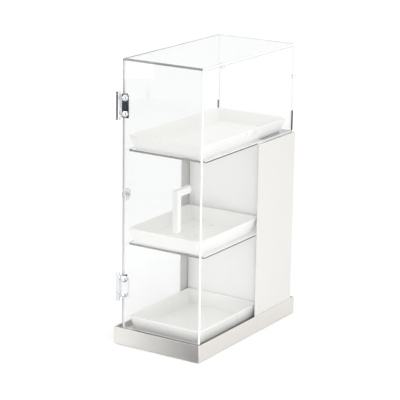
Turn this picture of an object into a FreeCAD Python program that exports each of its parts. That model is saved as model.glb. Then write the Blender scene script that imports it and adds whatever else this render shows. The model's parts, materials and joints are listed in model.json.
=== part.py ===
import FreeCAD, Part
import math
import os

from FreeCAD import Vector

# Counter-top bakery display case, in millimetres.
# A tall narrow box of clear sheet stands in a shallow stainless base. A clear door on two
# chrome hinges closes the front, three white trays stand on the floor and two shelves, and
# a white cover wraps the lower back, behind the partition that ends the two lower tiers.
# X runs from the hinge side to the handle side, the door faces -Y, and Z = 0 is the counter.
# The origin is the bottom centre of the whole part's box, from the handle to the base's back.

# ---- driving dimensions -------------------------------------------------------------
# base
base_width = 212.4
base_depth = 389.8
base_top = 37.5
base_sheet = 1.0
base_corner = 2.0
rim_ease = 0.45
hem_depth = 8.0
flange_width = 16.0
floor_top = 24.0
floor_lip = 10.0
foot_height = 1.5
foot_radius = 8.0
foot_inset = 11.0

# clear case
case_width = 190.0
case_depth = 360.0
case_top = 607.0
sheet_thickness = 4.5
edge_ease = 0.35
right_margin = 4.2
front_margin = 4.2
door_gap = 0.5
door_bottom = 39.0

# tiers
shelf_corner = 4.0
upper_shelf_z = 414.25
lower_shelf_z = 215.75
upper_shelf_setback = 17.0
lower_shelf_setback = 18.0
partition_front = 247.5
partition_thickness = 3.0

# white cover round the lower back
cover_sheet = 2.0
cover_front = 220.0
cover_back = 372.0
cover_top = 414.0

# trays: the rim is wider than the bottom, and the walls slope
tray_width = 177.5
tray_offset = -1.0
tray_slope = 10.5
tray_wall = 3.0
tray_floor = 3.2
tray_rim_corner = 9.0
tray_foot_corner = 6.5
long_tray = 336.0
long_tray_height = 29.5
short_tray = 232.0
short_tray_height = 32.5
upper_tray_setback = 12.0
middle_tray_setback = 10.0
lower_tray_setback = 15.0

# door hinges
hinge_heights = {"upper": 510.5, "lower": 127.5}
leaf_height = 48.0
leaf_thickness = 1.5
leaf_corner = 2.0
barrel_radius = 4.2
barrel_outset = 7.7
centre_knuckle = 23.4
knuckle_gap = 0.3
pin_radius = 2.0
pin_clearance = 0.05
finial_radius = 4.7
finial_height = 6.0
door_leaf_reach = 16.2
case_leaf_reach = 17.0
bolt_spacing = 33.0
door_bolt_inset = 6.5
case_bolt_setback = 10.5

# fasteners
bolt_radius = 2.0
bolt_head_radius = 4.0
bolt_head_depth = 2.0
bolt_nut_engagement = 5.0
hole_clearance = 0.1
nut_flange_radius = 6.2
nut_flange_height = 1.2
nut_across_flats = 9.6
nut_hex_height = 3.8
nut_dome_radius = 4.4

# handle
handle_bar = 12.7
handle_reach = 48.5
handle_x = 65.8
handle_top = 368.0
handle_length = 85.0
handle_edge = 0.8
washer_radius = 8.0
washer_height = 3.0
handle_screw_length = 24.0

# bumpers and rear strips
side_bumper_radius = 13.0
side_bumper_height = 4.0
side_bumper_z = 323.0
side_bumper_setback = 16.0
rear_bumper_radius = 4.7
rear_bumper_height = 9.0
rear_bumper_z = 535.4
rear_bumper_inset = 6.2
strip_low = 419.7
strip_high = 462.8
strip_width = 4.2
strip_setback = 4.5
strip_thickness = 1.5

# ---- places worked out from the dimensions -------------------------------------------
part_depth = base_depth + handle_reach - front_margin
base_left = -base_width / 2
base_right = base_width / 2
base_back = part_depth / 2
base_front = base_back - base_depth
door_face = base_front + front_margin
case_right = base_right - right_margin
case_left = case_right - case_width
case_x = (case_left + case_right) / 2
door_inside = door_face + sheet_thickness
wall_front = door_inside + door_gap
case_back = door_face + case_depth
rear_outside = case_back + sheet_thickness
inner_left = case_left + sheet_thickness
inner_right = case_right - sheet_thickness
panel_top = case_top - sheet_thickness
case_floor_top = floor_top + sheet_thickness
partition_y = door_face + partition_front
axis_x = case_left - barrel_outset
axis_y = door_face - barrel_radius
block_face = axis_x + barrel_radius


# ---- small helpers ----------------------------------------------------------------------
def box(x0, x1, y0, y1, z0, z1):
    return Part.makeBox(x1 - x0, y1 - y0, z1 - z0, Vector(x0, y0, z0))


def panel(x0, x1, y0, y1, z0, z1):
    """A flat sheet with its edges lightly eased."""
    plain = box(x0, x1, y0, y1, z0, z1)
    return plain.makeChamfer(edge_ease, plain.Edges)


def rod(radius, length, start, direction):
    return Part.makeCylinder(radius, length, start, direction)


def is_vertical(edge):
    first, last = edge.Vertexes[0].Point, edge.Vertexes[-1].Point
    return abs(first.x - last.x) < 1e-6 and abs(first.y - last.y) < 1e-6


def level(edge, z):
    bounds = edge.BoundBox
    return abs(bounds.ZMin - z) < 1e-4 and abs(bounds.ZMax - z) < 1e-4


def rounded_box(x0, x1, y0, y1, z0, z1, radius):
    """A box with its four upright edges rounded."""
    plain = box(x0, x1, y0, y1, z0, z1)
    return plain.makeFillet(radius, [edge for edge in plain.Edges if is_vertical(edge)])


def placed(shape, point, direction):
    """Turn a shape built along +Z to point along direction, and move it to point."""
    copy = shape.copy()
    turn = FreeCAD.Rotation(Vector(0, 0, 1), direction)
    copy.Placement = FreeCAD.Placement(point, turn)
    return copy


def group(solids):
    return Part.makeCompound(solids)


# ---- base -----------------------------------------------------------------------------------
def base_skirt():
    """Folded wall round the base: hemmed along its top, with a flange turned in below."""
    low, low_inside = foot_height, foot_height + base_sheet
    hem_low = base_top - hem_depth
    skirt = rounded_box(base_left, base_right, base_front, base_back, low, base_top, base_corner)
    levels = ((flange_width, low - 1, low_inside),
              (base_sheet, low_inside, hem_low),
              (2 * base_sheet, hem_low, base_top + 1))
    for inset, z0, z1 in levels:
        skirt = skirt.cut(box(base_left + inset, base_right - inset,
                              base_front + inset, base_back - inset, z0, z1))
    rim = [edge for edge in skirt.Edges if level(edge, base_top)]
    return skirt.makeFillet(rim_ease, rim)


def base_floor():
    """Raised floor that the case stands on, with its edges turned down against the skirt."""
    x0, x1 = base_left + base_sheet, base_right - base_sheet
    y0, y1 = base_front + base_sheet, base_back - base_sheet
    plate = box(x0, x1, y0, y1, floor_top - base_sheet, floor_top)
    lip_outer = box(x0, x1, y0, y1, floor_top - floor_lip, floor_top - base_sheet)
    lip_inner = box(x0 + base_sheet, x1 - base_sheet, y0 + base_sheet, y1 - base_sheet,
                    floor_top - floor_lip - 1, floor_top - base_sheet)
    return plate.fuse(lip_outer.cut(lip_inner)).removeSplitter()


def base_feet():
    """Four rubber discs stuck under the flange."""
    feet = []
    for x in (base_left + foot_inset, base_right - foot_inset):
        for y in (base_front + foot_inset, base_back - foot_inset):
            foot = rod(foot_radius, foot_height, Vector(x, y, 0), Vector(0, 0, 1))
            rim = [edge for edge in foot.Edges if abs(edge.BoundBox.ZMax) < 1e-6]
            feet.append(foot.makeChamfer(0.4, rim))
    return group(feet)


# ---- clear case -------------------------------------------------------------------------------
def bolt_heights(hinge):
    middle = hinge_heights[hinge]
    return (middle - bolt_spacing / 2, middle + bolt_spacing / 2)


def case_bolt_points():
    """Points on the left wall's inner face where the hinge bolts go through it."""
    return [Vector(inner_left, door_face + case_bolt_setback, z)
            for hinge in hinge_heights for z in bolt_heights(hinge)]


def door_bolt_points():
    """Points on the door's inner face where the hinge bolts go through it."""
    return [Vector(case_left + door_bolt_inset, door_inside, z)
            for hinge in hinge_heights for z in bolt_heights(hinge)]


def side_bumper_point():
    return Vector(case_left, door_face + side_bumper_setback, side_bumper_z)


def countersunk_hole(point, direction, length):
    """The space that a countersunk bolt needs, from its head's face along direction."""
    radius = bolt_radius + hole_clearance
    head = Part.makeCone(bolt_head_radius + hole_clearance, radius, bolt_head_depth)
    head = head.fuse(Part.makeCylinder(bolt_head_radius + hole_clearance, 1, Vector(0, 0, -1)))
    return placed(head.fuse(Part.makeCylinder(radius, length)), point, direction)


def left_wall():
    wall = panel(case_left, inner_left, wall_front, case_back, floor_top, panel_top)
    holes = [countersunk_hole(point, Vector(-1, 0, 0), 10) for point in case_bolt_points()]
    bumper_hole = rod(bolt_radius + hole_clearance, 2 * sheet_thickness,
                      side_bumper_point() - Vector(1, 0, 0), Vector(1, 0, 0))
    return wall.cut(holes + [bumper_hole])


def right_wall():
    return panel(inner_right, case_right, wall_front, case_back, floor_top, panel_top)


def rear_wall():
    return panel(case_left, case_right, case_back, rear_outside, floor_top, panel_top)


def top_panel():
    return panel(case_left, case_right, wall_front, rear_outside, panel_top, case_top)


def case_floor():
    return panel(inner_left, inner_right, wall_front, case_back, floor_top, case_floor_top)


def partition():
    """White sheet that ends the two lower tiers and carries the upper shelf."""
    return panel(inner_left, inner_right, partition_y, partition_y + partition_thickness,
                 case_floor_top, upper_shelf_z)


def shelf(setback, back, z_low):
    """Clear shelf between the side walls, with its two front corners rounded."""
    front = door_face + setback
    z_high = z_low + sheet_thickness
    plain = box(inner_left, inner_right, front, back, z_low, z_high)
    corners = [edge for edge in plain.Edges
               if is_vertical(edge) and abs(edge.BoundBox.YMin - front) < 1e-3]
    return plain.makeFillet(shelf_corner, corners)


# ---- white cover ------------------------------------------------------------------------------
def cover_side(outer_x, inner_x):
    low_x, high_x = sorted((outer_x, inner_x))
    return panel(low_x, high_x, door_face + cover_front, door_face + cover_back,
                 floor_top, cover_top)


def cover_back_panel():
    back = door_face + cover_back
    return panel(case_left, case_right, back - cover_sheet, back, floor_top, cover_top)


# ---- trays ------------------------------------------------------------------------------------
def rounded_outline(width, length, radius, centre, z):
    """Closed wire of a rectangle with round corners, centred on centre, at height z."""
    half_x, half_y = width / 2 - radius, length / 2 - radius
    corners = [(half_x, half_y, 0), (-half_x, half_y, 90),
               (-half_x, -half_y, 180), (half_x, -half_y, 270)]
    edges = []
    previous_end = None
    first_start = None
    for dx, dy, start_angle in corners:
        middle = Vector(centre.x + dx, centre.y + dy, z)
        arc = Part.ArcOfCircle(Part.Circle(middle, Vector(0, 0, 1), radius),
                               math.radians(start_angle), math.radians(start_angle + 90))
        edge = arc.toShape()
        start, end = arc.StartPoint, arc.EndPoint
        if previous_end is None:
            first_start = start
        else:
            edges.append(Part.LineSegment(previous_end, start).toShape())
        edges.append(edge)
        previous_end = end
    edges.append(Part.LineSegment(previous_end, first_start).toShape())
    return Part.Wire(edges)


def tray(length, height, setback, z_low):
    """Open tray with sloping walls, a soft rim and a rounded floor edge."""
    centre = Vector(case_x + tray_offset, door_face + setback + length / 2, 0)
    z_high = z_low + height
    z_floor = z_low + tray_floor
    foot_width = tray_width - 2 * tray_slope
    foot_length = length - 2 * tray_slope
    outer = Part.makeLoft([rounded_outline(foot_width, foot_length, tray_foot_corner, centre, z_low),
                           rounded_outline(tray_width, length, tray_rim_corner, centre, z_high)],
                          True, True)
    slope_at_floor = tray_slope * tray_floor / height
    floor_inset = 2 * (tray_wall - slope_at_floor)
    inner = Part.makeLoft([rounded_outline(foot_width - floor_inset, foot_length - floor_inset,
                                           tray_foot_corner - 1.5, centre, z_floor),
                           rounded_outline(tray_width - 2 * tray_wall, length - 2 * tray_wall,
                                           tray_rim_corner - tray_wall, centre, z_high)],
                          True, True)
    shape = outer.cut(inner)
    foot_edges = [edge for edge in shape.Edges if level(edge, z_low)]
    shape = shape.makeFillet(2.5, foot_edges)
    floor_edges = [edge for edge in shape.Edges if level(edge, z_floor)]
    shape = shape.makeFillet(4.0, floor_edges)
    rim_edges = [edge for edge in shape.Edges if level(edge, z_high)]
    return shape.makeFillet(1.2, rim_edges)


# ---- hinges -----------------------------------------------------------------------------------
def knuckle(z0, z1):
    return rod(barrel_radius, z1 - z0, Vector(axis_x, axis_y, z0), Vector(0, 0, 1))


def pin_bore(radius, z0, z1):
    return rod(radius, z1 - z0, Vector(axis_x, axis_y, z0), Vector(0, 0, 1))


def door_leaf(hinge):
    """Plate on the door's face, with the centre knuckle on a tongue at its edge."""
    middle = hinge_heights[hinge]
    low, high = middle - leaf_height / 2, middle + leaf_height / 2
    tongue_low, tongue_high = middle - centre_knuckle / 2, middle + centre_knuckle / 2
    plate_left = block_face + knuckle_gap
    plate_right = case_left + door_leaf_reach
    plate = box(plate_left, plate_right, door_face - leaf_thickness, door_face, low, high)
    far_corners = [edge for edge in plate.Edges
                   if abs(edge.BoundBox.XMin - plate_right) < 1e-3 and edge.BoundBox.YLength > 1]
    plate = plate.makeFillet(leaf_corner, far_corners)
    tongue = box(axis_x, plate_left, door_face - leaf_thickness, door_face,
                 tongue_low, tongue_high)
    leaf = plate.fuse([tongue, knuckle(tongue_low, tongue_high)]).removeSplitter()
    bore = pin_bore(pin_radius + pin_clearance, low, high)
    holes = [rod(bolt_radius + hole_clearance, 4 * leaf_thickness,
                 Vector(case_left + door_bolt_inset, door_face - 2 * leaf_thickness, z),
                 Vector(0, 1, 0)) for z in bolt_heights(hinge)]
    return leaf.cut([bore] + holes)


def case_leaf(hinge):
    """Plate on the hinge block, with the two end knuckles on tongues at its front edge."""
    middle = hinge_heights[hinge]
    low, high = middle - leaf_height / 2, middle + leaf_height / 2
    inner_low = middle - centre_knuckle / 2 - knuckle_gap
    inner_high = middle + centre_knuckle / 2 + knuckle_gap
    plate_front = door_face + knuckle_gap
    plate_back = door_face + case_leaf_reach
    outside = block_face - leaf_thickness
    plate = box(outside, block_face, plate_front, plate_back, low, high)
    far_corners = [edge for edge in plate.Edges
                   if abs(edge.BoundBox.YMin - plate_back) < 1e-3 and edge.BoundBox.XLength > 1]
    leaf = plate.makeFillet(leaf_corner, far_corners)
    for z0, z1 in ((low, inner_low), (inner_high, high)):
        tongue = box(outside, block_face, axis_y, plate_front, z0, z1)
        leaf = leaf.fuse([tongue, knuckle(z0, z1)])
    leaf = leaf.removeSplitter()
    holes = [rod(bolt_radius + hole_clearance, 4 * leaf_thickness,
                 Vector(outside - leaf_thickness, door_face + case_bolt_setback, z),
                 Vector(1, 0, 0)) for z in bolt_heights(hinge)]
    return leaf.cut([pin_bore(pin_radius, low, high)] + holes)


def hinge_pin(hinge):
    """Pin with a turned button finial at each end."""
    middle = hinge_heights[hinge]
    low, high = middle - leaf_height / 2, middle + leaf_height / 2
    shaft = rod(pin_radius, leaf_height, Vector(axis_x, axis_y, low), Vector(0, 0, 1))
    button = Part.makeCylinder(finial_radius, finial_height - 2)
    neck = Part.makeCylinder(barrel_radius - 0.7, finial_height)
    top_edge = [edge for edge in button.Edges if level(edge, finial_height - 2)]
    button = button.makeFillet(1.4, top_edge)
    button.translate(Vector(0, 0, 2))
    finial = button.fuse(neck.common(Part.makeCylinder(finial_radius, 3))).removeSplitter()
    above = placed(finial, Vector(axis_x, axis_y, high), Vector(0, 0, 1))
    below = placed(finial, Vector(axis_x, axis_y, low), Vector(0, 0, -1))
    return shaft.fuse([above, below]).removeSplitter()


def hinge_block(hinge):
    """Clear packing block bonded to the left wall, which brings the leaf out to the pin."""
    middle = hinge_heights[hinge]
    low, high = middle - leaf_height / 2, middle + leaf_height / 2
    block = panel(block_face, case_left, wall_front, door_face + case_leaf_reach, low, high)
    holes = [rod(bolt_radius + hole_clearance, 3 * sheet_thickness,
                 Vector(block_face - 1, door_face + case_bolt_setback, z),
                 Vector(1, 0, 0)) for z in bolt_heights(hinge)]
    return block.cut(holes)


# ---- fasteners --------------------------------------------------------------------------------
def countersunk_bolt(grip):
    """Bolt along +Z from its flush head, long enough to reach into a cap nut past grip."""
    head = Part.makeCone(bolt_head_radius, bolt_radius, bolt_head_depth)
    shank = Part.makeCylinder(bolt_radius, grip + bolt_nut_engagement)
    socket = hexagon(2.5, 1.2, -0.01)
    return head.fuse(shank).removeSplitter().cut(socket)


def hexagon(across_flats, height, z):
    """Hexagonal prism standing at z on the Z axis."""
    radius = across_flats / math.sqrt(3)
    points = [Vector(radius * math.cos(math.radians(60 * i)),
                     radius * math.sin(math.radians(60 * i)), z) for i in range(7)]
    return Part.Face(Part.makePolygon(points)).extrude(Vector(0, 0, height))


def cap_nut():
    """Domed nut along +Z on a round flange, with a blind bore for the bolt."""
    flange = Part.makeCone(nut_flange_radius, nut_flange_radius - 0.6, nut_flange_height)
    hexagonal = hexagon(nut_across_flats, nut_hex_height, nut_flange_height)
    dome_centre = nut_flange_height + nut_hex_height - 0.4
    dome = Part.makeSphere(nut_dome_radius, Vector(0, 0, dome_centre))
    dome = dome.cut(Part.makeCylinder(nut_flange_radius, dome_centre))
    dome = dome.cut(Part.makeCylinder(nut_flange_radius, nut_flange_radius,
                                      Vector(0, 0, dome_centre - nut_flange_radius)))
    nut = flange.fuse([hexagonal, dome]).removeSplitter()
    bore = Part.makeCylinder(bolt_radius + hole_clearance / 2, bolt_nut_engagement + 1)
    return nut.cut(bore)


def door_bolts(hinge):
    bolt = countersunk_bolt(sheet_thickness + leaf_thickness)
    return group([placed(bolt, Vector(case_left + door_bolt_inset, door_inside, z), Vector(0, -1, 0))
                  for z in bolt_heights(hinge)])


def door_nuts(hinge):
    seat = door_face - leaf_thickness
    return group([placed(cap_nut(), Vector(case_left + door_bolt_inset, seat, z), Vector(0, -1, 0))
                  for z in bolt_heights(hinge)])


def case_bolts(hinge):
    grip = inner_left - block_face + leaf_thickness
    y = door_face + case_bolt_setback
    return group([placed(countersunk_bolt(grip), Vector(inner_left, y, z), Vector(-1, 0, 0))
                  for z in bolt_heights(hinge)])


def case_nuts(hinge):
    seat = block_face - leaf_thickness
    y = door_face + case_bolt_setback
    return group([placed(cap_nut(), Vector(seat, y, z), Vector(-1, 0, 0))
                  for z in bolt_heights(hinge)])


# ---- door and handle --------------------------------------------------------------------------
def handle_centre():
    """Centre of the handle's fixing, on the door's outer face."""
    return Vector(case_x + handle_x, door_face, handle_top - handle_bar / 2)


def door_panel():
    door = panel(case_left + door_gap, case_right, door_face, door_inside, door_bottom, case_top)
    holes = [countersunk_hole(point, Vector(0, -1, 0), 10) for point in door_bolt_points()]
    middle = handle_centre()
    handle_hole = countersunk_hole(Vector(middle.x, door_inside, middle.z), Vector(0, -1, 0), 10)
    return door.cut(holes + [handle_hole])


def handle():
    """Square bar: a short arm out from the door, mitred into a grip that hangs down."""
    middle = handle_centre()
    half = handle_bar / 2
    arm = box(middle.x - half, middle.x + half,
              door_face - handle_reach, door_face - washer_height,
              handle_top - handle_bar, handle_top)
    grip = box(middle.x - half, middle.x + half,
               door_face - handle_reach, door_face - handle_reach + handle_bar,
               handle_top - handle_length, handle_top)
    bar = arm.fuse(grip).removeSplitter()
    bar = bar.makeFillet(handle_edge, bar.Edges)
    thread = rod(bolt_radius, handle_screw_length + 1, Vector(middle.x, door_inside, middle.z),
                 Vector(0, -1, 0))
    return bar.cut(thread)


def handle_washer():
    middle = handle_centre()
    washer = rod(washer_radius, washer_height, middle, Vector(0, -1, 0))
    rim = [edge for edge in washer.Edges
           if abs(edge.BoundBox.YMin - (door_face - washer_height)) < 1e-3
           and edge.BoundBox.YLength < 1e-3]
    washer = washer.makeFillet(0.8, rim)
    hole = rod(bolt_radius + hole_clearance, 2 * washer_height,
               middle + Vector(0, 1, 0), Vector(0, -1, 0))
    return washer.cut(hole)


def handle_screw():
    middle = handle_centre()
    screw = countersunk_bolt(handle_screw_length - bolt_nut_engagement)
    return placed(screw, Vector(middle.x, door_inside, middle.z), Vector(0, -1, 0))


# ---- bumpers and brackets ---------------------------------------------------------------------
def side_bumper():
    """Round soft buffer on the left wall, with a recess for its screw."""
    disc = Part.makeCylinder(side_bumper_radius, side_bumper_height)
    outer_edge = [edge for edge in disc.Edges if level(edge, side_bumper_height)]
    disc = disc.makeFillet(2.4, outer_edge)
    recess = Part.makeCylinder(4.2, 2.2, Vector(0, 0, side_bumper_height - 2.2))
    bore = Part.makeCylinder(bolt_radius + hole_clearance, side_bumper_height)
    return placed(disc.cut([recess, bore]), side_bumper_point(), Vector(-1, 0, 0))


def side_bumper_screw():
    """Pan-head screw through the buffer and the wall."""
    seat = side_bumper_height - 2.2
    head = Part.makeCylinder(3.6, 1.9, Vector(0, 0, seat))
    head = head.makeFillet(1.0, [edge for edge in head.Edges if level(edge, seat + 1.9)])
    shank = Part.makeCylinder(bolt_radius, seat + sheet_thickness + 2.6,
                              Vector(0, 0, -sheet_thickness - 2.6))
    slot = Part.makeBox(1.0, 8.0, 1.0, Vector(-0.5, -4.0, seat + 1.1))
    screw = head.fuse(shank).removeSplitter().cut(slot)
    return placed(screw, side_bumper_point(), Vector(-1, 0, 0))


def side_bumper_nut():
    nut = hexagon(7.0, 2.4, 0).cut(Part.makeCylinder(bolt_radius + hole_clearance / 2, 2.4))
    point = side_bumper_point() + Vector(sheet_thickness, 0, 0)
    return placed(nut, point, Vector(1, 0, 0))


def rear_bumpers():
    """Two soft pegs on the rear wall, near its upper corners, that keep it off what is behind."""
    peg = Part.makeCylinder(rear_bumper_radius, rear_bumper_height)
    outer_edge = [edge for edge in peg.Edges if level(edge, rear_bumper_height)]
    peg = peg.makeFillet(2.0, outer_edge)
    return group([placed(peg, Vector(x, rear_outside, rear_bumper_z), Vector(0, 1, 0))
                  for x in (case_left + rear_bumper_inset, case_right - rear_bumper_inset)])


def rear_strips():
    """Two narrow dark strips glued upright to the walls, near the rear corners."""
    strips = []
    back = rear_outside - strip_setback
    for x0 in (case_left - strip_thickness, case_right):
        strip = box(x0, x0 + strip_thickness, back - strip_width, back, strip_low, strip_high)
        ends = [edge for edge in strip.Edges
                if abs(edge.BoundBox.XLength - strip_thickness) < 1e-6]
        strips.append(strip.makeFillet(0.8, ends))
    return group(strips)


# ---- every node -------------------------------------------------------------------------------
def all_nodes():
    nodes = {
        "base_skirt": base_skirt(),
        "base_floor": base_floor(),
        "base_feet": base_feet(),
        "case_floor": case_floor(),
        "left_wall": left_wall(),
        "right_wall": right_wall(),
        "rear_wall": rear_wall(),
        "top_panel": top_panel(),
        "partition": partition(),
        "upper_shelf": shelf(upper_shelf_setback, case_back, upper_shelf_z),
        "lower_shelf": shelf(lower_shelf_setback, partition_y, lower_shelf_z),
        "cover_left_side": cover_side(case_left - cover_sheet, case_left),
        "cover_right_side": cover_side(case_right + cover_sheet, case_right),
        "cover_back": cover_back_panel(),
        "upper_tray": tray(long_tray, long_tray_height, upper_tray_setback,
                           upper_shelf_z + sheet_thickness),
        "middle_tray": tray(short_tray, short_tray_height, middle_tray_setback,
                            lower_shelf_z + sheet_thickness),
        "lower_tray": tray(short_tray, short_tray_height, lower_tray_setback, case_floor_top),
        "door_panel": door_panel(),
        "handle": handle(),
        "handle_washer": handle_washer(),
        "handle_screw": handle_screw(),
        "side_bumper": side_bumper(),
        "side_bumper_screw": side_bumper_screw(),
        "side_bumper_nut": side_bumper_nut(),
        "rear_bumpers": rear_bumpers(),
        "rear_strips": rear_strips(),
    }
    for hinge in hinge_heights:
        nodes[hinge + "_hinge_door_leaf"] = door_leaf(hinge)
        nodes[hinge + "_hinge_case_leaf"] = case_leaf(hinge)
        nodes[hinge + "_hinge_pin"] = hinge_pin(hinge)
        nodes[hinge + "_hinge_block"] = hinge_block(hinge)
        nodes[hinge + "_door_bolts"] = door_bolts(hinge)
        nodes[hinge + "_door_nuts"] = door_nuts(hinge)
        nodes[hinge + "_case_bolts"] = case_bolts(hinge)
        nodes[hinge + "_case_nuts"] = case_nuts(hinge)
    return nodes


os.makedirs("parts", exist_ok=True)
for name, shape in all_nodes().items():
    valid = all(solid.isValid() for solid in shape.Solids)
    print(name, "solids", len(shape.Solids), "valid", valid, "volume", round(shape.Volume, 1))
    shape.exportStep("parts/" + name + ".step")
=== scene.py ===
import json
import math

import bpy
from mathutils import Matrix, Vector


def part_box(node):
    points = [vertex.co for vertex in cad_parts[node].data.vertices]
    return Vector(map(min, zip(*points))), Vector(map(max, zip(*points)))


# Looks for the counter-top bakery display case. Every shape is a CAD node; this script gives
# each one its material, and adds the floor, the lights and the camera. Lengths are in metres,
# and the row frame is the CAD one: the door faces -Y, the handle is on the +X side.

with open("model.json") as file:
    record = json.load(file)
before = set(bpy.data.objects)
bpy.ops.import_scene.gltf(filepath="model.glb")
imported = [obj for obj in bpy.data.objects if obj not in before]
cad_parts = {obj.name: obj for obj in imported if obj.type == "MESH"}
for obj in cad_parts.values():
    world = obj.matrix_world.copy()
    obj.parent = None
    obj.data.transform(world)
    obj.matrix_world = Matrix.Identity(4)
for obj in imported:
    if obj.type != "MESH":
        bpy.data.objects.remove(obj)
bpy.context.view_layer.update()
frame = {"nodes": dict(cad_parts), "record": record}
nodes = frame["nodes"]

DIRECTIONS = {"left": Vector((-1, 0, 0)), "right": Vector((1, 0, 0)),
              "front": Vector((0, -1, 0)), "back": Vector((0, 1, 0)),
              "top": Vector((0, 0, 1)), "bottom": Vector((0, 0, -1))}

# ---- camera: lens and sensor are in millimetres -------------------------------------------------
CAMERA_PLACE = Vector((1.8369, -2.90745, 1.2276))
CAMERA_AZIMUTH = math.radians(32.38)
CAMERA_ELEVATION = math.radians(15.25)
CAMERA_ROLL = math.radians(0.90)
CAMERA_LENS = 152.56
CAMERA_SENSOR = 36.0

# ---- floor --------------------------------------------------------------------------------
FLOOR_SIZE = 60.0
FLOOR_COLOUR = (0.97, 0.97, 0.97)
# Painted reflection: the floor is painted dark in two places that only mirror reflections see,
# far off to the left, and in a band close in front of the base. Each pair is where a change
# starts and where it is complete.
FLOOR_PAINTED_REFLECTION_DARK = (0.03, 0.035, 0.05)
FAR_DIRECTION = Vector((-0.925, -0.381, 0.0))
FAR_START = (0.6, 0.95)
BAND_DIRECTION = Vector((0.83, -0.557, 0.0))
BAND_START = (0.035, 0.18)
BAND_END = (0.19, 0.215)
BAND_FRONT = (0.165, 0.18)

# ---- sky and lamps --------------------------------------------------------------------------
SKY_FRONT = (0.40, 0.41, 0.43)
SKY_BEHIND = (0.96, 0.96, 0.97)
SKY_ZENITH = (1.16, 1.155, 1.15)
BEHIND_DIRECTION = Vector((0.35, 0.94, 0.0))
BEHIND_CHANGE = (-0.3, 0.3)
ZENITH_CHANGE = (0.2, 0.5)
# name: place, aim, width, height, power in watts, spread in degrees
LAMPS = {
    "key": ((-1.9, -1.75, 1.0), (0.0, 0.0, 0.3), 1.2, 1.8, 1.0, 180.0),
    "low": ((-0.87, -1.10, 0.55), (0.0, -0.17, 0.2), 0.4, 0.5, 1.7, 180.0),
    "front": ((0.85, -1.15, 0.12), (0.05, -0.12, 0.04), 0.3, 0.16, 0.2, 40.0),
    "fill": ((0.95, -0.35, 0.78), (0.1, 0.0, 0.3), 0.7, 0.7, 2.3, 180.0),
}
LIGHT_BOUNCES = 40
CLEAR_LAYERS = 32

# ---- patterns: scale, detail and, for one that runs one way, its stretch along X, Y and Z -------
SCUFFS = (90.0, 6.0, (1.0, 1.0, 0.3))
GLUE = (200.0, 3.0)
CLOUDS = (14.0, 4.0)
HANDLING = (60.0, 6.0, (1.0, 1.0, 0.35))
UPRIGHT_BRUSHING = (1400.0, 4.0, (0.008, 0.008, 1.0))
LYING_BRUSHING = (1400.0, 4.0, (1.0, 0.008, 0.008))
STEEL_CLOUDS = (9.0, 3.0)
WIPING = (900.0, 5.0, (1.0, 1.0, 0.2))
HAZE = (350.0, 4.0)
RUBBER_GRAIN = (1500.0, 4.0)
SKIN_DETAIL = 2.0
EDGE_DETAIL = 3.0
# The part of a pattern's values over which a roughness or a mix makes its whole change.
MIDDLE = (0.3, 0.7)
UPPER_MIDDLE = (0.35, 0.7)
WIDE_MIDDLE = (0.3, 0.75)
UPPER_WIDE_MIDDLE = (0.35, 0.75)

# ---- finishes: colours are linear red, green, blue; bump depths are in metres -------------------
ACRYLIC_IOR = 1.49
BUFFER_IOR = 1.35
CLEAR_TINT = (0.965, 0.970, 0.972)
CLEAR_ROUGHNESS = (0.0, 0.02)
CLOUD_SHADE = 0.985
# A white piece's roughness varies between these shares of its own value.
HANDLED_ROUGHNESS = (0.9, 1.2)
# white pieces: colour, roughness, scale of the skin's grain, depth of the grain
WHITES = {
    "cover_sheet": ((0.70, 0.695, 0.67), 0.22, 500.0, 0.00002),
    "white_sheet": ((0.90, 0.895, 0.88), 0.22, 500.0, 0.00002),
    "white_tray": ((0.89, 0.885, 0.86), 0.30, 900.0, 0.00004),
    "white_handle": ((0.755, 0.755, 0.745), 0.14, 300.0, 0.00001),
}
# cut edges: darkest and lightest colour, scale of the marks, roughness, share that scatters light
CUT_EDGES = {
    # The polished edge is painted grey: painted shade for the dim surroundings seen in a clear
    # edge.
    "polished_edge_painted_shade": ((0.20, 0.20, 0.20), (0.32, 0.315, 0.31), 60.0, 0.10, 0.85),
    "sawn_edge": ((0.92, 0.93, 0.93), (0.99, 0.99, 0.99), 700.0, 0.35, 0.88),
}
# The share that scatters light varies by this much either way.
SHARE_SWING = 0.1
# Pale colours of a glued edge: the glue, and painted light for the light carried along the edge.
GLUE_AND_PIPED_LIGHT_COLOURS = ((0.78, 0.80, 0.82), (0.92, 0.93, 0.93))
GLUE_ROUGHNESS = 0.25
# The painted shade line on a glued shelf, a dark line that stands for shade seen low in the edge:
# its middle above the shelf's underside, half its height, and where its soft edge ends, in half
# heights from its middle.
SHADE_LINE_COLOUR = (0.02, 0.02, 0.03)
SHADE_LINE_HEIGHT = 0.0013
SHADE_LINE_HALF = 0.0009
SHADE_LINE_SOFT = 1.6
# Steel: its colours run from the first to the second as its tone goes from 0 to 1, and each tone
# is how much one thing adds.
STEEL_UPRIGHT = ((0.74, 0.72, 0.69), (0.92, 0.90, 0.87))
# Flat faces take lighter colours than upright ones: painted light.
STEEL_FLAT_PAINTED_LIGHT = ((0.84, 0.83, 0.81), (0.95, 0.94, 0.92))
STEEL_TONES = {"lines": 0.4, "clouds": 0.4, "edges": 0.35}
STEEL_ROUGHNESS = (0.42, 0.50)
STEEL_FLAT_ROUGHER = 0.2
STEEL_ANISOTROPY = 0.85
STEEL_BUMP = 0.00001
STEEL_EDGE = 0.0012
QUARTER_TURN = 0.25
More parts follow.
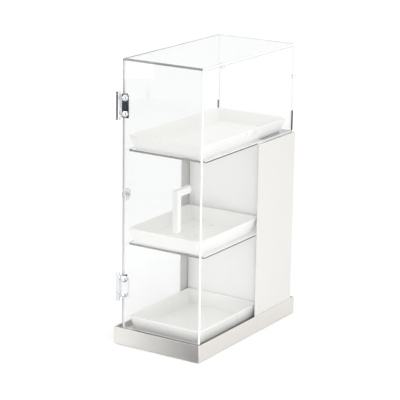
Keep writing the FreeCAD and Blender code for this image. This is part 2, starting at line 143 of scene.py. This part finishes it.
# A steel face counts as flat when its normal's upright part is larger than this, either way.
LYING_FACE = 0.7
CHROME_COLOURS = ((0.80, 0.81, 0.83), (0.93, 0.93, 0.93))
CHROME_ROUGHNESS = (0.05, 0.14)
CHROME_EDGE_ROUGHER = 0.08
CHROME_EDGE = 0.0005
CHROME_BUMP = 0.00001
BUFFER_COLOURS = ((0.90, 0.91, 0.90), (0.98, 0.98, 0.97))
BUFFER_TINT = (0.97, 0.97, 0.97)
BUFFER_TRANSMISSION = 0.55
BUFFER_ROUGHNESS = (0.15, 0.30)
BUFFER_CLEAR_SHARE = (0.35, 0.5)
BUFFER_BUMP = 0.00005
RUBBER_COLOURS = ((0.015, 0.015, 0.016), (0.05, 0.05, 0.052))
RUBBER_ROUGHNESS = (0.65, 0.9)
RUBBER_BUMP = 0.00008
# How the worn edges of a piece are found: samples, and the dot product of the rounded normal
# with the plain one at which the wear is complete.
EDGE_SAMPLES = 6
EDGE_TURN = 0.86

# ---- sheet edges --------------------------------------------------------------------------
# Finish of each sheet's narrow faces, by the side that they face. A side that isn't named has
# the plain polished edge, which is painted grey as shade.
EDGE_KINDS = ("polished_edge_painted_shade", "sawn_edge", "cemented_edge", "bonded_joint")
PLAIN_EDGE = "polished_edge_painted_shade"
BONDED_WALL = {"front": "sawn_edge", "back": "bonded_joint", "top": "bonded_joint",
               "bottom": "bonded_joint"}
SAWN_BLOCK = dict.fromkeys(("front", "back", "top", "bottom"), "sawn_edge")
GLUED_SHELF = dict.fromkeys(("left", "right", "back"), "cemented_edge")
EDGE_FINISHES = {
    "door_panel": dict.fromkeys(("right", "bottom"), "sawn_edge"),
    "left_wall": BONDED_WALL,
    "right_wall": BONDED_WALL,
    "rear_wall": {"left": "cemented_edge", "right": "cemented_edge", "top": "bonded_joint",
                  "bottom": "bonded_joint"},
    "top_panel": dict.fromkeys(("right", "back"), "cemented_edge"),
    "case_floor": dict.fromkeys(("left", "right", "back"), "bonded_joint"),
    "upper_shelf": GLUED_SHELF,
    "lower_shelf": GLUED_SHELF,
    "upper_hinge_block": SAWN_BLOCK,
    "lower_hinge_block": SAWN_BLOCK,
}
GLUED_SHELVES = ("upper_shelf", "lower_shelf")
# A face counts as a sheet's wide one, or as square to a side, from these dot products on.
WIDE_FACE = 0.9
SQUARE_FACE = 0.99


# ---- node helpers ---------------------------------------------------------------------------
def new_material(name):
    """A material with an empty node tree and its output node."""
    material = bpy.data.materials.new(name)
    material.use_nodes = True
    tree = material.node_tree
    tree.nodes.clear()
    output = tree.nodes.new("ShaderNodeOutputMaterial")
    return material, tree, output


def add(tree, kind, **values):
    """A new node, with its inputs set by name (spaces written as underscores)."""
    node = tree.nodes.new(kind)
    for name, value in values.items():
        node.inputs[name.replace("_", " ")].default_value = value
    return node


def maths(tree, operation, first, second=0.0):
    """The output of a maths node on two sockets or numbers."""
    node = tree.nodes.new("ShaderNodeMath")
    node.operation = operation
    for index, value in enumerate((first, second)):
        if isinstance(value, bpy.types.NodeSocket):
            tree.links.new(value, node.inputs[index])
        else:
            node.inputs[index].default_value = value
    return node.outputs[0]


def ranged(tree, value, low, high, low_to=0.0, high_to=1.0):
    """The value, mapped from low..high to low_to..high_to and held inside it."""
    node = add(tree, "ShaderNodeMapRange", From_Min=low, From_Max=high,
               To_Min=low_to, To_Max=high_to)
    tree.links.new(value, node.inputs["Value"])
    return node.outputs["Result"]


def place(tree, stretch=(1.0, 1.0, 1.0)):
    """Points in the row frame, stretched for a pattern that runs one way."""
    coordinates = tree.nodes.new("ShaderNodeTexCoord")
    mapping = add(tree, "ShaderNodeMapping", Scale=stretch)
    tree.links.new(coordinates.outputs["Object"], mapping.inputs["Vector"])
    return mapping.outputs["Vector"]


def pattern(tree, scale, detail, stretch=(1.0, 1.0, 1.0)):
    """Soft random blotches; a larger scale makes them smaller, and a stretch makes them lines."""
    node = add(tree, "ShaderNodeTexNoise", Scale=scale, Detail=detail)
    tree.links.new(place(tree, stretch), node.inputs["Vector"])
    return node.outputs["Fac"]


def colour_between(tree, factor, first, second):
    """A colour from first to second, each a colour or a socket, as factor goes 0 to 1."""
    node = tree.nodes.new("ShaderNodeMix")
    node.data_type = "RGBA"
    tree.links.new(factor, node.inputs["Factor"])
    ends = [socket for socket in node.inputs if socket.type == "RGBA"]
    for socket, colour in zip(ends, (first, second)):
        if isinstance(colour, bpy.types.NodeSocket):
            tree.links.new(colour, socket)
        else:
            socket.default_value = (*colour, 1.0)
    return [socket for socket in node.outputs if socket.type == "RGBA"][0]


def along(tree, points, direction):
    """How far each point lies along a direction."""
    node = tree.nodes.new("ShaderNodeVectorMath")
    node.operation = "DOT_PRODUCT"
    tree.links.new(points, node.inputs[0])
    node.inputs[1].default_value = direction
    return node.outputs["Value"]


def bumped(tree, shader, height, distance):
    """Bumps on the shader's surface that stand up to distance high."""
    node = add(tree, "ShaderNodeBump", Strength=1.0, Distance=distance)
    tree.links.new(height, node.inputs["Height"])
    tree.links.new(node.outputs["Normal"], shader.inputs["Normal"])


def mixed(tree, factor, first, second):
    """A shader that goes from first to second as factor goes 0 to 1."""
    mix = tree.nodes.new("ShaderNodeMixShader")
    tree.links.new(factor, mix.inputs[0])
    tree.links.new(first.outputs[0], mix.inputs[1])
    tree.links.new(second.outputs[0], mix.inputs[2])
    return mix


def show(tree, shader, output):
    """The shader becomes the material's surface."""
    tree.links.new(shader.outputs[0], output.inputs["Surface"])


def edge_mask(tree, radius):
    """1 on the edges of a piece and 0 on its flats."""
    bevel = add(tree, "ShaderNodeBevel", Radius=radius)
    bevel.samples = EDGE_SAMPLES
    geometry = tree.nodes.new("ShaderNodeNewGeometry")
    dot = tree.nodes.new("ShaderNodeVectorMath")
    dot.operation = "DOT_PRODUCT"
    tree.links.new(bevel.outputs["Normal"], dot.inputs[0])
    tree.links.new(geometry.outputs["Normal"], dot.inputs[1])
    return ranged(tree, dot.outputs["Value"], 1.0, EDGE_TURN)


# ---- materials --------------------------------------------------------------------------------
def acrylic(name):
    """Clear cast sheet: it bends light, and lets the lamps and soft light straight through."""
    material, tree, output = new_material(name)
    glass = add(tree, "ShaderNodeBsdfPrincipled", Transmission_Weight=1.0, IOR=ACRYLIC_IOR)
    scuffs = pattern(tree, *SCUFFS)
    tree.links.new(ranged(tree, scuffs, *UPPER_WIDE_MIDDLE, *CLEAR_ROUGHNESS),
                   glass.inputs["Roughness"])
    glass.inputs["Base Color"].default_value = (*CLEAR_TINT, 1.0)
    one_face = [math.sqrt(part) for part in CLEAR_TINT]
    clear = add(tree, "ShaderNodeBsdfTransparent", Color=(*one_face, 1.0))
    path = tree.nodes.new("ShaderNodeLightPath")
    passes = maths(tree, "MAXIMUM", path.outputs["Is Shadow Ray"], path.outputs["Is Diffuse Ray"])
    show(tree, mixed(tree, passes, glass, clear), output)
    return material


def cut_edge(name, darkest, lightest, grain, roughness, body):
    """Narrow face of a clear sheet: body, a share of it, scatters light, and the rest bends it."""
    material, tree, output = new_material(name)
    glass = add(tree, "ShaderNodeBsdfPrincipled", Transmission_Weight=1.0, IOR=ACRYLIC_IOR,
                Roughness=roughness)
    marks = pattern(tree, grain, EDGE_DETAIL)
    # The skin's colours carry the polished edge's painted grey shade and the sawn edge's white.
    skin = add(tree, "ShaderNodeBsdfPrincipled", Roughness=roughness, IOR=ACRYLIC_IOR)
    tree.links.new(colour_between(tree, marks, darkest, lightest), skin.inputs["Base Color"])
    share = ranged(tree, marks, *MIDDLE, body - SHARE_SWING, body + SHARE_SWING)
    show(tree, mixed(tree, share, glass, skin), output)
    return material


def painted_shade_line(tree, height, shelf):
    """1 on the painted shade line, a dark line low on a shelf's glued edges."""
    shelf_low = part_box(shelf)[0]
    away = maths(tree, "ABSOLUTE", maths(tree, "SUBTRACT", height, shelf_low.z + SHADE_LINE_HEIGHT))
    return ranged(tree, away, SHADE_LINE_HALF, SHADE_LINE_SOFT * SHADE_LINE_HALF, 1.0, 0.0)


def cemented_edge(name):
    """Edge glued to a wall: pale, for the glue and as painted light carried along the edge, with a
    painted dark shade line low on it in front of the white cover.
    """
    material, tree, output = new_material(name)
    split = tree.nodes.new("ShaderNodeSeparateXYZ")
    tree.links.new(place(tree), split.inputs[0])
    lines = [painted_shade_line(tree, split.outputs["Z"], shelf) for shelf in GLUED_SHELVES]
    # The painted shade line stops where the white cover stands below the edge; there the edge
    # stays pale.
    cover_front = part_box("cover_right_side")[0].y
    in_front_of_cover = maths(tree, "LESS_THAN", split.outputs["Y"], cover_front)
    line = maths(tree, "MULTIPLY", maths(tree, "MAXIMUM", *lines), in_front_of_cover)
    pale = colour_between(tree, pattern(tree, *GLUE), *GLUE_AND_PIPED_LIGHT_COLOURS)
    shader = add(tree, "ShaderNodeBsdfPrincipled", Roughness=GLUE_ROUGHNESS, IOR=ACRYLIC_IOR)
    tree.links.new(colour_between(tree, line, pale, SHADE_LINE_COLOUR), shader.inputs["Base Color"])
    show(tree, shader, output)
    return material


def bonded_joint(name):
    """Face of a cemented joint: the two sheets are one there, so it can't be seen."""
    material, tree, output = new_material(name)
    show(tree, tree.nodes.new("ShaderNodeBsdfTransparent"), output)
    return material


def white_plastic(name, colour, roughness, grain, grain_depth):
    """Moulded or cut white sheet: a soft gloss that varies, and a very fine skin."""
    material, tree, output = new_material(name)
    shader = add(tree, "ShaderNodeBsdfPrincipled", IOR=ACRYLIC_IOR)
    darker = tuple(part * CLOUD_SHADE for part in colour)
    tree.links.new(colour_between(tree, pattern(tree, *CLOUDS), darker, colour),
                   shader.inputs["Base Color"])
    smoothest, roughest = (roughness * factor for factor in HANDLED_ROUGHNESS)
    tree.links.new(ranged(tree, pattern(tree, *HANDLING), *WIDE_MIDDLE, smoothest, roughest),
                   shader.inputs["Roughness"])
    bumped(tree, shader, pattern(tree, grain, SKIN_DETAIL), grain_depth)
    show(tree, shader, output)
    return material


def brush_lines(tree, is_flat):
    """Brush lines: level on upright faces, and front to back on flat ones."""
    lines = tree.nodes.new("ShaderNodeMix")
    tree.links.new(is_flat, lines.inputs["Factor"])
    tree.links.new(pattern(tree, *UPRIGHT_BRUSHING), lines.inputs["A"])
    tree.links.new(pattern(tree, *LYING_BRUSHING), lines.inputs["B"])
    return lines.outputs["Result"]


def level_tangent(tree, normal):
    """The level direction that runs along each upright face."""
    level = tree.nodes.new("ShaderNodeVectorMath")
    level.operation = "CROSS_PRODUCT"
    level.inputs[0].default_value = DIRECTIONS["top"]
    tree.links.new(normal, level.inputs[1])
    return level.outputs["Vector"]


def brushed_steel(name):
    """Stainless sheet with brush lines along each face, worn, brighter edges, and flat faces
    painted lighter than upright ones as painted light.
    """
    material, tree, output = new_material(name)
    shader = add(tree, "ShaderNodeBsdfPrincipled", Metallic=1.0)
    normal = tree.nodes.new("ShaderNodeNewGeometry").outputs["Normal"]
    split = tree.nodes.new("ShaderNodeSeparateXYZ")
    tree.links.new(normal, split.inputs[0])
    is_flat = maths(tree, "GREATER_THAN", maths(tree, "ABSOLUTE", split.outputs["Z"]), LYING_FACE)
    brushed = brush_lines(tree, is_flat)
    from_lines = maths(tree, "MULTIPLY", brushed, STEEL_TONES["lines"])
    from_clouds = maths(tree, "MULTIPLY", pattern(tree, *STEEL_CLOUDS), STEEL_TONES["clouds"])
    from_edges = maths(tree, "MULTIPLY", edge_mask(tree, STEEL_EDGE), STEEL_TONES["edges"])
    tone = maths(tree, "ADD", maths(tree, "ADD", from_lines, from_clouds), from_edges)
    upright_colour = colour_between(tree, tone, *STEEL_UPRIGHT)
    # The lighter colours of flat faces are painted light.
    flat_painted_light_colour = colour_between(tree, tone, *STEEL_FLAT_PAINTED_LIGHT)
    tree.links.new(colour_between(tree, is_flat, upright_colour, flat_painted_light_colour),
                   shader.inputs["Base Color"])
    rough = ranged(tree, brushed, *MIDDLE, *STEEL_ROUGHNESS)
    tree.links.new(maths(tree, "ADD", rough, maths(tree, "MULTIPLY", is_flat, STEEL_FLAT_ROUGHER)),
                   shader.inputs["Roughness"])
    tree.links.new(level_tangent(tree, normal), shader.inputs["Tangent"])
    shader.inputs["Anisotropic Rotation"].default_value = QUARTER_TURN
    tree.links.new(maths(tree, "SUBTRACT", STEEL_ANISOTROPY,
                         maths(tree, "MULTIPLY", is_flat, STEEL_ANISOTROPY)),
                   shader.inputs["Anisotropic"])
    bumped(tree, shader, brushed, STEEL_BUMP)
    show(tree, shader, output)
    return material


def chrome(name):
    """Bright plate with fine wiping marks, a little duller on its edges."""
    material, tree, output = new_material(name)
    shader = add(tree, "ShaderNodeBsdfPrincipled", Metallic=1.0)
    marks = pattern(tree, *WIPING)
    worn = edge_mask(tree, CHROME_EDGE)
    tree.links.new(colour_between(tree, worn, *CHROME_COLOURS), shader.inputs["Base Color"])
    rough = maths(tree, "ADD", ranged(tree, marks, *UPPER_MIDDLE, *CHROME_ROUGHNESS),
                  maths(tree, "MULTIPLY", worn, CHROME_EDGE_ROUGHER))
    tree.links.new(rough, shader.inputs["Roughness"])
    bumped(tree, shader, marks, CHROME_BUMP)
    show(tree, shader, output)
    return material


def cloudy_buffer(name):
    """Soft see-through buffer, a little milky, with a matt skin."""
    material, tree, output = new_material(name)
    shader = add(tree, "ShaderNodeBsdfPrincipled", Transmission_Weight=BUFFER_TRANSMISSION,
                 IOR=BUFFER_IOR)
    haze = pattern(tree, *HAZE)
    tree.links.new(colour_between(tree, haze, *BUFFER_COLOURS), shader.inputs["Base Color"])
    tree.links.new(ranged(tree, haze, *MIDDLE, *BUFFER_ROUGHNESS), shader.inputs["Roughness"])
    bumped(tree, shader, haze, BUFFER_BUMP)
    clear = add(tree, "ShaderNodeBsdfTransparent", Color=(*BUFFER_TINT, 1.0))
    clear_share = ranged(tree, haze, *MIDDLE, *BUFFER_CLEAR_SHARE)
    show(tree, mixed(tree, clear_share, shader, clear), output)
    return material


def rubber(name):
    """Matt black rubber with a fine grain."""
    material, tree, output = new_material(name)
    shader = add(tree, "ShaderNodeBsdfPrincipled")
    grain = pattern(tree, *RUBBER_GRAIN)
    tree.links.new(colour_between(tree, grain, *RUBBER_COLOURS), shader.inputs["Base Color"])
    tree.links.new(ranged(tree, grain, *MIDDLE, *RUBBER_ROUGHNESS), shader.inputs["Roughness"])
    bumped(tree, shader, grain, RUBBER_BUMP)
    show(tree, shader, output)
    return material


def every_finish():
    """Every material, by the name of its slot or of its kind of edge."""
    makers = {"clear_sheet": acrylic, "stainless": brushed_steel, "chrome": chrome,
              "clear_buffer": cloudy_buffer, "rubber": rubber, "cemented_edge": cemented_edge,
              "bonded_joint": bonded_joint}
    finishes = {name: make(name) for name, make in makers.items()}
    finishes.update({name: white_plastic(name, *values) for name, values in WHITES.items()})
    finishes.update({name: cut_edge(name, *values) for name, values in CUT_EDGES.items()})
    return finishes


def thin_axis(node):
    """The axis, 0 to 2, along which a sheet is thinnest."""
    low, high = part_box(node)
    size = high - low
    return min(range(3), key=lambda axis: size[axis])


def give_edges(node, finishes):
    """The narrow faces of a sheet take the finish of the side they face most."""
    mesh = nodes[node].data
    for kind in EDGE_KINDS:
        mesh.materials.append(finishes[kind])
    axis = thin_axis(node)
    chosen = EDGE_FINISHES.get(node, {})
    for face in mesh.polygons:
        if abs(face.normal[axis]) > WIDE_FACE:
            continue
        side = max((name for name in DIRECTIONS if DIRECTIONS[name][axis] == 0),
                   key=lambda name: face.normal.dot(DIRECTIONS[name]))
        kind = chosen.get(side, PLAIN_EDGE)
        if kind == "bonded_joint" and face.normal.dot(DIRECTIONS[side]) < SQUARE_FACE:
            kind = PLAIN_EDGE
        face.material_index = 1 + EDGE_KINDS.index(kind)


def paint_nodes():
    """Each CAD node takes the material of its slot, and a clear sheet its edges too."""
    finishes = every_finish()
    for part in frame["record"]["subparts"]:
        node = part["node"]
        mesh = nodes[node].data
        mesh.materials.clear()
        mesh.materials.append(finishes[part["material_slot"]])
        if part["material_slot"] == "clear_sheet":
            give_edges(node, finishes)


# ---- stage ------------------------------------------------------------------------------------
def painted_reflection_share(tree):
    """Painted reflection: how dark each point of the floor is in a mirror reflection, 0 to 1, and
    0 in any other.
    """
    path = tree.nodes.new("ShaderNodeLightPath")
    far = ranged(tree, along(tree, place(tree), FAR_DIRECTION), *FAR_START)
    across = along(tree, place(tree), BAND_DIRECTION)
    band = maths(tree, "MULTIPLY", ranged(tree, across, *BAND_START),
                 ranged(tree, across, *BAND_END, 1.0, 0.0))
    in_front = along(tree, place(tree), DIRECTIONS["front"])
    band = maths(tree, "MULTIPLY", band, ranged(tree, in_front, *BAND_FRONT))
    mirrored = maths(tree, "MULTIPLY", path.outputs["Is Glossy Ray"],
                     path.outputs["Is Reflection Ray"])
    return maths(tree, "MULTIPLY", maths(tree, "MAXIMUM", far, band), mirrored)


def make_floor():
    """A wide, pale and plain floor, whose colour carries the painted reflection."""
    half = FLOOR_SIZE / 2
    mesh = bpy.data.meshes.new("floor")
    corners = [(-half, -half, 0), (half, -half, 0), (half, half, 0), (-half, half, 0)]
    mesh.from_pydata(corners, [], [(0, 1, 2, 3)])
    floor = bpy.data.objects.new("floor", mesh)
    bpy.context.scene.collection.objects.link(floor)
    material, tree, output = new_material("floor")
    shader = add(tree, "ShaderNodeBsdfDiffuse")
    tree.links.new(colour_between(tree, painted_reflection_share(tree), FLOOR_COLOUR, FLOOR_PAINTED_REFLECTION_DARK),
                   shader.inputs["Color"])
    show(tree, shader, output)
    mesh.materials.append(material)


def make_sky():
    """Soft studio light from above; level light is bright behind the case, dim in front."""
    world = bpy.data.worlds.new("studio")
    bpy.context.scene.world = world
    world.use_nodes = True
    tree = world.node_tree
    tree.nodes.clear()
    output = tree.nodes.new("ShaderNodeOutputWorld")
    background = tree.nodes.new("ShaderNodeBackground")
    direction = tree.nodes.new("ShaderNodeTexCoord").outputs["Generated"]
    behind = ranged(tree, along(tree, direction, BEHIND_DIRECTION), *BEHIND_CHANGE)
    horizon = colour_between(tree, behind, SKY_FRONT, SKY_BEHIND)
    height = ranged(tree, along(tree, direction, DIRECTIONS["top"]), *ZENITH_CHANGE)
    tree.links.new(colour_between(tree, height, horizon, SKY_ZENITH), background.inputs["Color"])
    show(tree, background, output)


def make_lamp(name, place_at, aim, width, height, power, spread):
    """A rectangular lamp that lights the case and isn't seen itself, except in a mirror."""
    data = bpy.data.lights.new(name, "AREA")
    data.shape = "RECTANGLE"
    data.size = width
    data.size_y = height
    data.energy = power
    data.spread = math.radians(spread)
    lamp = bpy.data.objects.new(name, data)
    bpy.context.scene.collection.objects.link(lamp)
    lamp.location = place_at
    lamp.rotation_mode = "QUATERNION"
    lamp.rotation_quaternion = (Vector(aim) - Vector(place_at)).to_track_quat("-Z", "Y")
    lamp.visible_camera = False
    lamp.visible_transmission = False


def make_camera():
    """The camera looks along its own -Z; its three axes come from azimuth, elevation, roll."""
    sin_a, cos_a = math.sin(CAMERA_AZIMUTH), math.cos(CAMERA_AZIMUTH)
    sin_e, cos_e = math.sin(CAMERA_ELEVATION), math.cos(CAMERA_ELEVATION)
    sin_r, cos_r = math.sin(CAMERA_ROLL), math.cos(CAMERA_ROLL)
    back = Vector((sin_a * cos_e, -cos_a * cos_e, sin_e))
    level_right = Vector((cos_a, sin_a, 0.0))
    level_up = back.cross(level_right)
    right = level_right * cos_r + level_up * sin_r
    up = level_up * cos_r - level_right * sin_r
    data = bpy.data.cameras.new("camera")
    data.lens = CAMERA_LENS
    data.sensor_width = CAMERA_SENSOR
    camera = bpy.data.objects.new("camera", data)
    bpy.context.scene.collection.objects.link(camera)
    turn = Matrix((right, up, back)).transposed()
    camera.matrix_world = Matrix.Translation(CAMERA_PLACE) @ turn.to_4x4()
    bpy.context.scene.camera = camera


def set_light_paths():
    """Enough bounces to see through every sheet, and white stays white."""
    scene = bpy.context.scene
    scene.cycles.max_bounces = LIGHT_BOUNCES
    scene.cycles.transmission_bounces = LIGHT_BOUNCES
    scene.cycles.glossy_bounces = LIGHT_BOUNCES
    scene.cycles.transparent_max_bounces = CLEAR_LAYERS
    scene.view_settings.view_transform = "Standard"


make_camera()
make_floor()
make_sky()
for lamp_name, settings in LAMPS.items():
    make_lamp(lamp_name, *settings)
set_light_paths()
paint_nodes()
